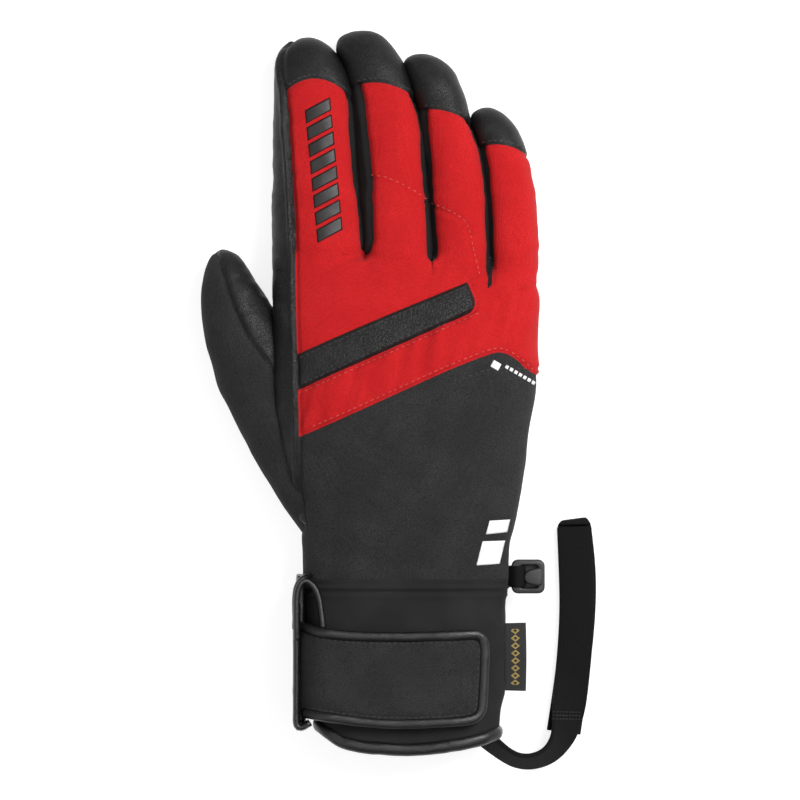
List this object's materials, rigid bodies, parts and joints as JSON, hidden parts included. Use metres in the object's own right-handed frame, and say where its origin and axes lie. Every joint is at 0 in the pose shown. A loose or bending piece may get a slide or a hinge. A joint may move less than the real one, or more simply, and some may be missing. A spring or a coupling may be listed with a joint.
{
  "type": "ski glove",
  "caption": "Insulated five finger ski glove with leather fingertips, a wrist closure strap, a side clip and a wrist leash, with fingers and thumb that flex.",
  "frame": {"origin": "on the flat underside of the palm grip patch, under the middle of the palm", "axes": "+X to the little finger side, +Y to the fingertips, +Z out of the back of the hand"},
  "size_m": [0.1567, 0.3002, 0.0416],
  "materials": {
    "red_softshell": "matte woven softshell",
    "black_softshell": "matte woven softshell",
    "black_leather": "fine grained leather",
    "grip_leather": "tacky grained leather",
    "cuff_knit": "knit faced foam",
    "fleece": "brushed fleece",
    "batting": "fibre batting",
    "hook_and_loop": "hook and loop tape",
    "woven_label": "woven tape",
    "webbing": "flat elastic webbing",
    "clip_plastic": "moulded plastic"
  },
  "bodies": {
    "hand": {"back_panel": "red_softshell", "knuckle_band": "black_leather", "back_stripe": "red_softshell", "lower_back_panel": "black_softshell", "palm_panel": "black_leather", "palm_grip_patch": "grip_leather", "index_side_strip": "black_leather", "little_side_wall": "black_softshell", "hand_lining": "fleece", "back_insulation": "batting", "thumb_gusset": "black_leather", "cuff_band": "cuff_knit", "cuff_hem": "black_leather", "side_label": "woven_label", "loop_patch": "hook_and_loop", "strap_fold": "black_leather", "clip_webbing": "webbing", "leash_strap": "webbing", "leash_return": "webbing"},
    "index_base": {"index_base_back": "red_softshell", "index_base_sides": "black_softshell", "index_base_palm": "black_leather", "index_base_lining": "fleece"},
    "index_tip": {"index_tip_back": "red_softshell", "index_fingertip_cap": "black_leather", "index_tip_lining": "fleece"},
    "middle_base": {"middle_base_back": "red_softshell", "middle_base_sides": "black_softshell", "middle_base_palm": "black_leather", "middle_base_lining": "fleece"},
    "middle_tip": {"middle_tip_back": "red_softshell", "middle_fingertip_cap": "black_leather", "middle_tip_lining": "fleece"},
    "ring_base": {"ring_base_back": "red_softshell", "ring_base_sides": "black_softshell", "ring_base_palm": "black_leather", "ring_base_lining": "fleece"},
    "ring_tip": {"ring_tip_back": "red_softshell", "ring_fingertip_cap": "black_leather", "ring_tip_lining": "fleece"},
    "little_base": {"little_base_back": "red_softshell", "little_base_sides": "black_softshell", "little_base_palm": "black_leather", "little_base_lining": "fleece"},
    "little_tip": {"little_tip_back": "red_softshell", "little_fingertip_cap": "black_leather", "little_tip_lining": "fleece"},
    "thumb_base": {"thumb_base_outer": "black_softshell", "thumb_base_inner": "black_leather", "thumb_base_lining": "fleece"},
    "thumb_tip": {"thumb_tip_outer": "black_softshell", "thumb_tip_inner": "black_leather", "thumb_tip_lining": "fleece"},
    "strap": {"strap_panel": "black_softshell", "strap_binding": "black_leather", "hook_patch": "hook_and_loop"},
    "clip": {"clip_frame_body": "clip_plastic"},
    "gate": {"clip_gate": "clip_plastic"}
  },
  "joints": [
    {"name": "index_knuckle_bend", "type": "hinge", "parent": "hand", "child": "index_base", "pos_m": [-0.02323, 0.0543, 0.0095], "axis": [-0.9962, -0.0872, 0], "range_deg": [0, 65]},
    {"name": "index_tip_bend", "type": "hinge", "parent": "index_base", "child": "index_tip", "pos_m": [-0.02681, 0.09515, 0.0095], "axis": [-0.9962, -0.0872, 0], "range_deg": [0, 58]},
    {"name": "middle_knuckle_bend", "type": "hinge", "parent": "hand", "child": "middle_base", "pos_m": [0.0076, 0.057, 0.0095], "axis": [-0.9962, -0.0872, 0], "range_deg": [0, 65]},
    {"name": "middle_tip_bend", "type": "hinge", "parent": "middle_base", "child": "middle_tip", "pos_m": [0.00394, 0.09884, 0.0095], "axis": [-0.9962, -0.0872, 0], "range_deg": [0, 58]},
    {"name": "ring_knuckle_bend", "type": "hinge", "parent": "hand", "child": "ring_base", "pos_m": [0.03345, 0.05926, 0.0095], "axis": [-0.9962, -0.0872, 0], "range_deg": [0, 65]},
    {"name": "ring_tip_bend", "type": "hinge", "parent": "ring_base", "child": "ring_tip", "pos_m": [0.03023, 0.09612, 0.0095], "axis": [-0.9962, -0.0872, 0], "range_deg": [0, 58]},
    {"name": "little_knuckle_bend", "type": "hinge", "parent": "hand", "child": "little_base", "pos_m": [0.05652, 0.05024, 0.0095], "axis": [-0.9962, -0.0872, 0], "range_deg": [0, 65]},
    {"name": "little_tip_bend", "type": "hinge", "parent": "little_base", "child": "little_tip", "pos_m": [0.05382, 0.08112, 0.0095], "axis": [-0.9962, -0.0872, 0], "range_deg": [0, 58]},
    {"name": "thumb_spread", "type": "hinge", "parent": "hand", "child": "thumb_base", "pos_m": [-0.037, -0.03, 0.0095], "axis": [0, 0, 1], "range_deg": [0, 25]},
    {"name": "thumb_bend", "type": "hinge", "parent": "thumb_base", "child": "thumb_tip", "pos_m": [-0.04728, 0.01381, 0.0095], "axis": [-0.9736, -0.2284, 0], "range_deg": [0, 50]},
    {"name": "strap_peel", "type": "hinge", "parent": "hand", "child": "strap", "pos_m": [-0.027, -0.1115, 0.0399], "axis": [0, -1, 0], "range_deg": [0, 150]},
    {"name": "clip_swing", "type": "hinge", "parent": "hand", "child": "clip", "pos_m": [0.0579, -0.0735, 0.019], "axis": [0, -1, 0], "range_deg": [-60, 80]},
    {"name": "gate_press", "type": "hinge", "parent": "clip", "child": "gate", "pos_m": [0.0631, -0.0735, 0.019], "axis": [0, 1, 0], "range_deg": [0, 20], "stiffness_Nm_per_rad": 0.004}
  ],
  "couplings": [
    {"joint": "index_tip_bend", "follows": "index_knuckle_bend", "ratio": 0.89},
    {"joint": "middle_tip_bend", "follows": "middle_knuckle_bend", "ratio": 0.89},
    {"joint": "ring_tip_bend", "follows": "ring_knuckle_bend", "ratio": 0.89},
    {"joint": "little_tip_bend", "follows": "little_knuckle_bend", "ratio": 0.89}
  ]
}
